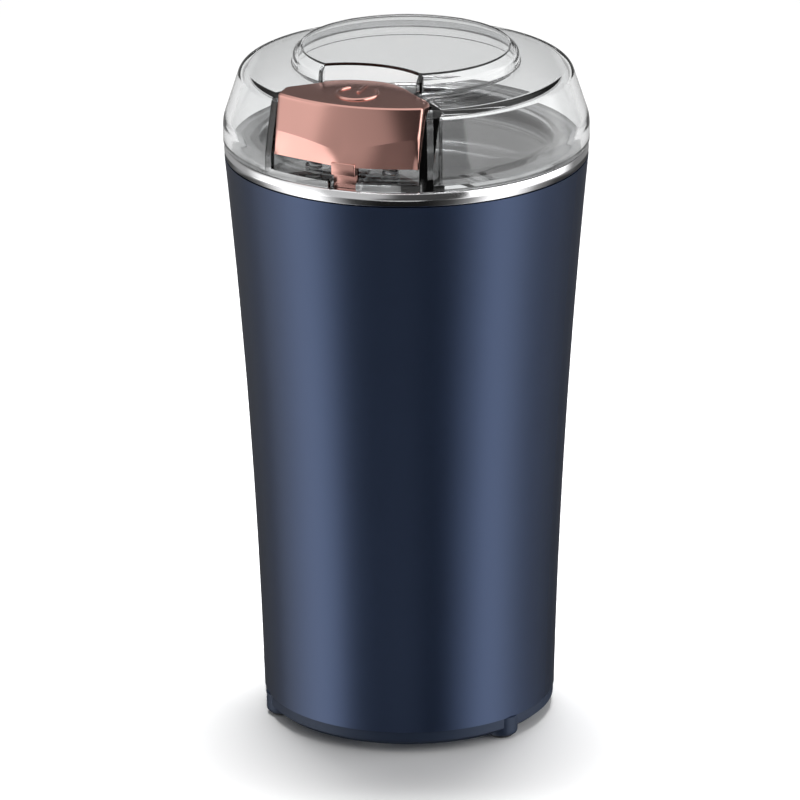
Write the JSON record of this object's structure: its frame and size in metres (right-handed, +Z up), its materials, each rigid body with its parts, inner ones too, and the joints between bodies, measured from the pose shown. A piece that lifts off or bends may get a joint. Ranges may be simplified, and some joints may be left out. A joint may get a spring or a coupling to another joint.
{
  "type": "electric spice grinder",
  "caption": "Electric spice grinder with a tapered painted body, a steel bowl and blade, and a clear lift-off lid that carries a press button.",
  "frame": {"origin": "on the table under the middle of the body", "axes": "+Z up along the motor shaft, +Y out of the cord outlet at the back, the button at -Y"},
  "size_m": [0.0954, 0.0953, 0.1829],
  "materials": {
    "navy_paint": "satin paint",
    "navy_base": "satin moulded plastic",
    "rubber": "matt",
    "screw_steel": "zinc plated",
    "rim_steel": "polished steel",
    "bowl_steel": "spun steel",
    "silicone": "matt silicone",
    "frame_plastic": "moulded",
    "bronze": "sintered bronze",
    "bracket_metal": "die cast",
    "core_steel": "varnished laminations",
    "copper_wire": "enamelled copper wire",
    "brass": "brass",
    "carbon": "graphite",
    "switch_plastic": "moulded",
    "pin_plastic": "acetal",
    "copper_bars": "turned copper",
    "blade_steel": "ground steel",
    "clear_lid": "clear moulded plastic",
    "rose_gold": "plated rose gold"
  },
  "bodies": {
    "base": {"body_shell": "navy_paint", "base_cover": "navy_base", "foot_pads": "rubber", "base_screws": "screw_steel", "cord_gland": "rubber", "rim_ring": "rim_steel", "grinding_bowl": "bowl_steel", "bowl_gasket": "silicone", "bowl_carrier": "frame_plastic", "shaft_seal": "rubber", "upper_bearing": "bronze", "lower_bearing": "bronze", "motor_top_bracket": "bracket_metal", "motor_bottom_bracket": "bracket_metal", "stator_core": "core_steel", "field_coils": "copper_wire", "brush_holders": "brass", "carbon_brushes": "carbon", "brush_springs": "screw_steel", "motor_screws": "screw_steel", "motor_dampers": "rubber", "switch_body": "switch_plastic", "switch_terminals": "brass", "switch_screws": "screw_steel"},
    "rotor": {"motor_shaft": "screw_steel", "armature_core": "core_steel", "armature_windings": "copper_wire", "commutator": "copper_bars", "thrust_washers": "pin_plastic", "cooling_fan": "pin_plastic", "blade_hub": "brass", "blade": "blade_steel", "blade_nut": "screw_steel"},
    "lid": {"lid_shell": "clear_lid", "lid_inner": "clear_lid", "button_springs": "screw_steel"},
    "button": {"button_cap": "rose_gold"},
    "switch_pin": {"switch_pin": "pin_plastic"},
    "switch_lever": {"switch_lever": "screw_steel"}
  },
  "joints": [
    {"name": "motor_spin", "type": "hinge", "parent": "base", "child": "rotor", "pos_m": [0, 0, 0.12], "axis": [0, 0, 1], "continuous": true},
    {"name": "lid_lift", "type": "slide", "parent": "base", "child": "lid", "axis": [0, 0, 1], "range_m": [0, 0.075]},
    {"name": "button_press", "type": "slide", "parent": "lid", "child": "button", "axis": [0, 0, -1], "range_m": [0, 0.0033], "stiffness_N_per_m": 600, "springref_m": -0.002, "deforming": ["button_springs"]},
    {"name": "pin_press", "type": "slide", "parent": "base", "child": "switch_pin", "axis": [0, 0, -1], "range_m": [0, 0.0033]},
    {"name": "lever_press", "type": "hinge", "parent": "base", "child": "switch_lever", "pos_m": [-0.006, -0.03875, 0.1316], "axis": [0, 1, 0], "range_deg": [0, 18.88]}
  ],
  "couplings": [
    {"joint": "pin_press", "follows": "button_press", "ratio": 1},
    {"joint": "lever_press", "follows": "button_press", "rad_per_m": 99.749}
  ]
}
